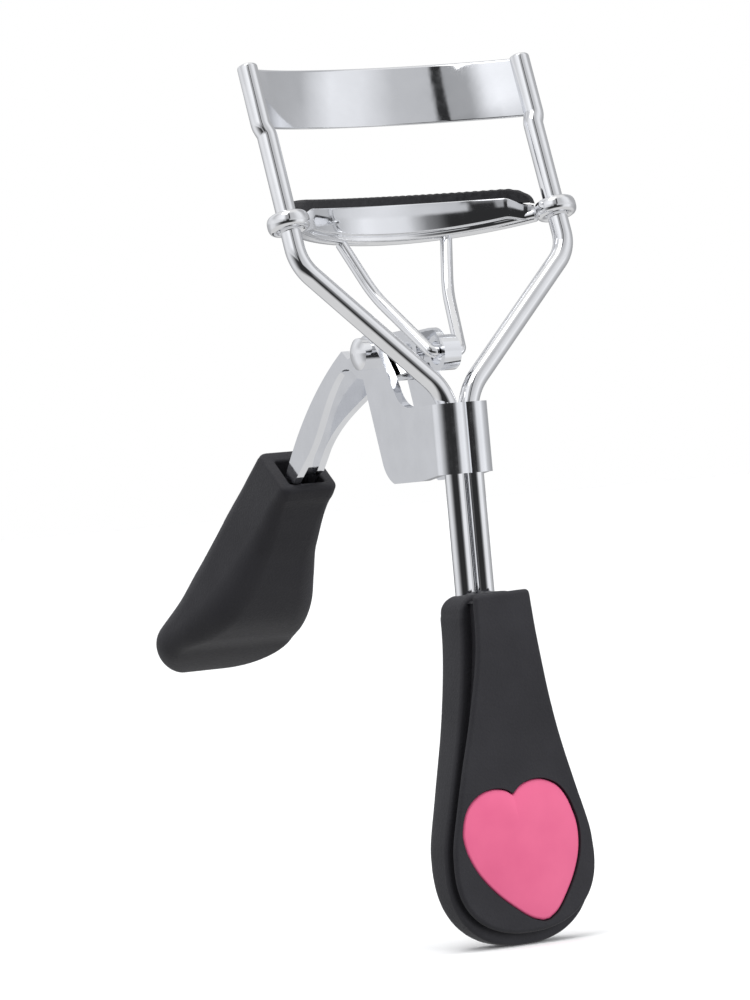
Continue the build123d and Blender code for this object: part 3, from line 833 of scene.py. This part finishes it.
SOCKET_DRAFT = 0.96
SOCKET_LIP = 0.3
SOCKET_LIP_STEP = 0.05
TOP_RIM = 0.6
SECTION_POINTS = 96
RIM_DEPTH = 1.9
DIP_LENGTH = 11.0
DIP_DEPTH = 0.4
DIP_LEAD = 0.45


def smooth_table(values):
    """A curve without overshoot through the values at the grip's places, as a function."""
    x = np.array(LEVER_GRIP_PLACES)
    y = np.array(values)
    slope = np.diff(y) / np.diff(x)
    turn = np.zeros(len(x))
    same = slope[:-1] * slope[1:] > 0
    turn[1:-1][same] = 2 * slope[:-1][same] * slope[1:][same] / (slope[:-1] + slope[1:])[same]
    turn[0] = slope[0]

    def value(t):
        i = int(np.clip(np.searchsorted(x, t) - 1, 0, len(x) - 2))
        width = x[i + 1] - x[i]
        u = (t - x[i]) / width
        low = y[i] * (1 + 2 * u) * (1 - u) ** 2 + turn[i] * width * u * (1 - u) ** 2
        high = y[i + 1] * u * u * (3 - 2 * u) + turn[i + 1] * width * u * u * (u - 1)
        return float(low + high)

    return value


GRIP_WIDTH_AT = smooth_table(LEVER_GRIP_WIDTH)
GRIP_THICK_AT = smooth_table(LEVER_GRIP_THICK)
GRIP_BEHIND_AT = smooth_table(LEVER_GRIP_BEHIND)


def rounded_section(half_w, half_t, corner):
    """A rounded rectangle as evenly matched points."""
    radius = corner * min(half_w, half_t)
    pts = []
    per = SECTION_POINTS // 4
    for quarter, (sx, sy) in enumerate(((1, 1), (-1, 1), (-1, -1), (1, -1))):
        for k in range(per):
            turn = math.pi / 2 * (quarter + k / (per - 1))
            across = sx * (half_w - radius) + radius * math.cos(turn)
            through = sy * (half_t - radius) + radius * math.sin(turn)
            pts.append((across, through))
    return pts


def lever_section(fraction, section, sink=0.0, lift=0.0):
    """A section across the lever grip's curled centre line, sunk along it or lifted off it if asked."""
    run = fraction * LEVER_GRIP_LENGTH + sink
    chord = math.radians(LEVER_GRIP_TILT + LEVER_GRIP_CURL * run / 2)
    heading = math.radians(LEVER_GRIP_TILT + LEVER_GRIP_CURL * run)
    y = LEVER_GRIP_TOP[0] + run * math.sin(chord)
    z = LEVER_GRIP_TOP[1] - run * math.cos(chord)
    drift = LEVER_GRIP_DRIFT * run / LEVER_GRIP_LENGTH
    out_y, out_z = math.cos(heading), math.sin(heading)
    return [(drift + u, y + (v + lift) * out_y, z + (v + lift) * out_z) for u, v in section]


def paddle_section(t, shrink=0.0):
    """The outside of the thumb grip at a fraction of its length, pulled in by an amount."""
    last = LEVER_GRIP_PLACES[-1]
    held = min(t, last)
    half_w = GRIP_WIDTH_AT(held) - shrink
    half_t = GRIP_THICK_AT(held) - shrink
    behind = GRIP_BEHIND_AT(held)
    if t > last:
        gone = (t - last) / (1 - last)
        half_w *= max(LEVER_FOOT_LEAST, 1 - gone**LEVER_FOOT_FULLNESS) ** LEVER_FOOT_CLOSE
        half_t = half_t * (1 - gone**2) + LEVER_FOOT_THICK * gone**2
        half_t *= max(LEVER_FOOT_LEAST, 1 - gone**6) ** 0.5
        behind *= 1 - gone**2
    corner = min(LEVER_CORNER_MOST, LEVER_CORNER_TOP + LEVER_CORNER_RISE * t)
    run = t * LEVER_GRIP_LENGTH
    dip = 0.0
    if RIM_DEPTH < run < RIM_DEPTH + DIP_LENGTH:
        share = (run - RIM_DEPTH) / DIP_LENGTH
        dip = DIP_DEPTH * math.sin(math.pi * share**DIP_LEAD) ** 2
    section = rounded_section(half_w, half_t, corner)
    return [(u, v + behind + (dip if v < -half_t * 0.5 else 0)) for u, v in section]


def socket_ring(half, sink):
    """A section of the square socket, that far down from the thumb grip's top."""
    return lever_section(0, rounded_section(half, half, SOCKET_CORNER), sink, -SOCKET_OFFSET)


def lever_grip(material):
    """The thumb grip: a curled paddle, with a square socket where the lever goes in."""
    rings = [socket_ring(SOCKET_HALF * SOCKET_DRAFT, SOCKET_DEPTH)]
    rings.append(socket_ring(SOCKET_HALF, SOCKET_LIP + SOCKET_LIP_STEP))
    for k in range(4):
        turn = math.pi / 2 * k / 3
        half = SOCKET_HALF + SOCKET_LIP * (1 - math.cos(turn))
        rings.append(socket_ring(half, SOCKET_LIP * (1 - math.sin(turn))))
    for k in range(7):
        turn = math.pi / 2 * k / 6
        section = paddle_section(0, TOP_RIM * (1 - math.sin(turn)))
        rings.append(lever_section(0, section, TOP_RIM * (1 - math.cos(turn))))
    last = LEVER_GRIP_PLACES[-1]
    for k in range(1, LEVER_RINGS + 1):
        t = last * k / LEVER_RINGS
        if t * LEVER_GRIP_LENGTH > TOP_RIM:
            rings.append(lever_section(t, paddle_section(t)))
    for k in range(1, LEVER_FOOT_RINGS + 1):
        turn = math.pi / 2 * k / LEVER_FOOT_RINGS * LEVER_FOOT_REACH
        t = last + (1 - last) * math.sin(turn)
        rings.append(lever_section(t, paddle_section(t)))
    return finish_piece(skin(rings), "thumb_grip", material, "lever")


# ---------------------------------------------------------------- lower jaw

RING_S = 5.39
RING_CENTRE = along_head(RING_S)
RING_R = 0.65
RING_HALF_H = 1.0
RING_MAJOR = WIRE_R + 0.07 + RING_R
BAR_FALL = math.radians(10.8)
BAR_Z = RING_CENTRE.z - 0.1
BAR_R = 0.9
BAR_REACH = 17.2
PAD_TOP_Z = 26.1
PAD_H = 1.9
PAD_W = 2.2
PAD_REACH = 16.9
CHANNEL_TOP_Z = 24.9
CHANNEL_W = 3.2
CHANNEL_REACH = 16.9
CHANNEL_TAPER = 2.6
RIB_PITCH = 0.9
RIB_DEPTH = 0.07
PAD_RINGS = 380
PAD_GAP = 0.02
PAD_CROWN = 0.3
PAD_CROWN_FULLNESS = 0.6
PAD_NOSE = 2.6
PAD_DROOP = 1.75
TROUGH_RINGS = 160
TROUGH_CORNER = [(0.3, 0.0), (0.08, 0.1), (0.0, 0.32)]
TROUGH_ABOVE_BAR = 0.2
TROUGH_END_DROP = 0.9
TROUGH_FLOOR_UNDER = 0.15
LIP_TURNS = (0.5, 1.0, 1.57, 2.1, 2.6)
NECK_HALF = 0.75
NECK_WALL_SHARE = 0.45
EYE_FULLNESS = 0.8
EYE_STEPS = 72
EYE_SIDES = 24


def jaw_rise(y):
    """The change in the height of the jaw's top at a depth: it climbs towards the back of its bow."""
    return (y - RING_CENTRE.y) * math.tan(JAW_RISE)


def bar_fall(y):
    """The change in the height of the jaw's bar at a depth: it drops towards the back of its bow."""
    return (RING_CENTRE.y - y) * math.tan(BAR_FALL)


def swept_band(profile_at, reach, steps):
    """Rings along the jaw's bow, from a profile of (across, height) points at each X."""
    rings = []
    for k in range(steps + 1):
        x = -reach + 2 * reach * k / steps
        spot, out = bow_point(x, HEAD_X, RING_CENTRE.y)
        ring = []
        for across, height in profile_at(spot):
            place = spot + out * across
            ring.append(Vector((place.x, place.y, height)))
        rings.append(ring)
    return rings


def lash_pad(material):
    """The rubber pad: fine ribs over its crown and ends that round down."""
    half = PAD_W / 2
    crown_foot = PAD_CROWN + PAD_GAP

    def profile(spot):
        left = PAD_REACH - abs(spot.x)
        droop = 0.0
        if left < PAD_NOSE:
            gone = (PAD_NOSE - left) / PAD_NOSE
            droop = PAD_DROOP * (1 - math.sqrt(max(0.0, 1 - gone**2)))
        rib = RIB_DEPTH * (0.5 + 0.5 * math.cos(2 * math.pi * spot.x / RIB_PITCH))
        top = PAD_TOP_Z + jaw_rise(spot.y) - droop - PAD_GAP
        low = min(PAD_TOP_Z - PAD_H + jaw_rise(spot.y), top - PAD_CROWN)
        pts = [(-half, low), (-half, top - crown_foot)]
        for k in range(9):
            turn = math.pi * k / 8
            swell = (PAD_CROWN - rib) * math.sin(turn) ** PAD_CROWN_FULLNESS
            pts.append((-half * math.cos(turn), top - PAD_CROWN + swell))
        return pts + [(half, top - crown_foot), (half, low)]

    rings = swept_band(profile, PAD_REACH, PAD_RINGS)
    return finish_piece(skin(rings), "lash_pad_ribbed", material, "jaw", SMOOTH_SHEET)


def jaw_trough(material):
    """The pressed trough: thin walls with rolled lips that close down to a neck at each end."""
    wall = (CHANNEL_W - PAD_W) / 2 - PAD_GAP
    neck_top = RING_CENTRE.z + NECK_HALF

    def profile(spot):
        left = CHANNEL_REACH - abs(spot.x)
        share = min(1.0, left / CHANNEL_TAPER)
        ease = share * share * (3 - 2 * share)
        half = NECK_HALF + (CHANNEL_W / 2 - NECK_HALF) * ease
        thick = min(wall, half * NECK_WALL_SHARE)
        top = neck_top + (CHANNEL_TOP_Z + jaw_rise(spot.y) - neck_top) * ease
        low = BAR_Z + bar_fall(spot.y) + TROUGH_ABOVE_BAR - TROUGH_END_DROP * (1 - ease)
        floor_z = min(PAD_TOP_Z - PAD_H + jaw_rise(spot.y) - PAD_GAP, top - TROUGH_FLOOR_UNDER)
        lip = thick / 2
        over = [(lip * math.cos(a), top - lip + lip * math.sin(a)) for a in LIP_TURNS]
        pts = [(-half + inward, low + up) for inward, up in TROUGH_CORNER] + [(-half, top - lip)]
        pts += [(-half + lip - across, z) for across, z in over]
        pts += [(-half + thick, top - lip), (-half + thick, floor_z)]
        pts += [(half - thick, floor_z), (half - thick, top - lip)]
        pts += [(half - lip - across, z) for across, z in over]
        pts.append((half, top - lip))
        return pts + [(half - inward, low + up) for inward, up in reversed(TROUGH_CORNER)]

    rings = swept_band(profile, CHANNEL_REACH, TROUGH_RINGS)
    return finish_piece(skin(rings), "jaw_trough", material, "jaw", SMOOTH_SHEET)


def jaw_bar(material):
    """The round wire under the trough."""
    path = []
    for k in range(91):
        x = -BAR_REACH + 2 * BAR_REACH * k / 90
        spot, _ = bow_point(x, HEAD_X, RING_CENTRE.y)
        path.append(Vector((spot.x, spot.y, BAR_Z + bar_fall(spot.y))))
    bar = tube(path, BAR_R, THIN_WIRE_SIDES)
    return finish_piece(bar, "jaw_bar_wire", material, "jaw", SMOOTH_ROUND)


def guide_eye(side, material):
    """A flattened ring round a head wire, sliding on it."""
    centre = Vector((HEAD_X * side, RING_CENTRE.y, RING_CENTRE.z))
    u = Vector((side, 0, 0))
    v = HEAD_UP.cross(u)
    bm = bmesh.new()
    rows = []
    for k in range(EYE_STEPS):
        turn = 2 * math.pi * k / EYE_STEPS
        way = u * math.cos(turn) + v * math.sin(turn)
        row = []
        for j in range(EYE_SIDES):
            t = 2 * math.pi * j / EYE_SIDES
            across = RING_R * math.copysign(abs(math.cos(t)) ** EYE_FULLNESS, math.cos(t))
            high = RING_HALF_H * math.copysign(abs(math.sin(t)) ** EYE_FULLNESS, math.sin(t))
            row.append(bm.verts.new(centre + way * (RING_MAJOR + across) + HEAD_UP * high))
        rows.append(row)
    for a, b in zip(rows, rows[1:] + rows[:1]):
        for i in range(EYE_SIDES):
            j = (i + 1) % EYE_SIDES
            bm.faces.new((a[i], a[j], b[j], b[i]))
    name = "slide_eye_right" if side > 0 else "slide_eye_left"
    return finish_piece(bm, name, material, "jaw", SMOOTH_ROUND)


# ---------------------------------------------------------------- put it together


def dress_frame():
    """Give every CAD node its material, and build the pieces that stand for some of them."""
    wire_plate = bright_plate("bright_wire", (0.90, 0.905, 0.92), 0.05)
    sheet_plate = bright_plate("bright_sheet", (0.88, 0.89, 0.915), 0.07)
    plastic = grip_plastic()
    slots = {s["node"]: s["material_slot"] for s in frame["record"]["subparts"]}
    by_slot = {
        "bright_plated_steel": wire_plate,
        "bright_plated_sheet": sheet_plate,
        "grip_plastic": plastic,
        "pad_rubber": pad_rubber(),
        "pink_inlay": pink_inlay(),
    }
    for name, cad in frame["nodes"].items():
        cad.data.materials.clear()
        cad.data.materials.append(by_slot[slots[name]])
    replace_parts(handle_body(plastic), "handle_grip_body")
    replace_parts(handle_cover(plastic), "handle_grip_cover")
    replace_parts(heart_inlay(by_slot["pink_inlay"]), "heart_inlay")
    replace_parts(lever_grip(plastic), "lever_grip")
    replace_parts(lash_pad(by_slot["pad_rubber"]), "lash_pad")
    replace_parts(jaw_trough(sheet_plate), "lower_jaw_channel")
    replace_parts(jaw_bar(wire_plate), "lower_jaw_bar")
    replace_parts(link_wire(wire_plate), "link_wire")
    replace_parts(jaw_plate(sheet_plate), "upper_jaw_plate")
    for side, word in ((-1, "left"), (1, "right")):
        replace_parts(frame_wire(side, wire_plate), f"frame_wire_{word}")
        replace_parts(guide_eye(side, wire_plate), f"guide_eye_{word}")


add_camera()
add_studio()
dress_frame()
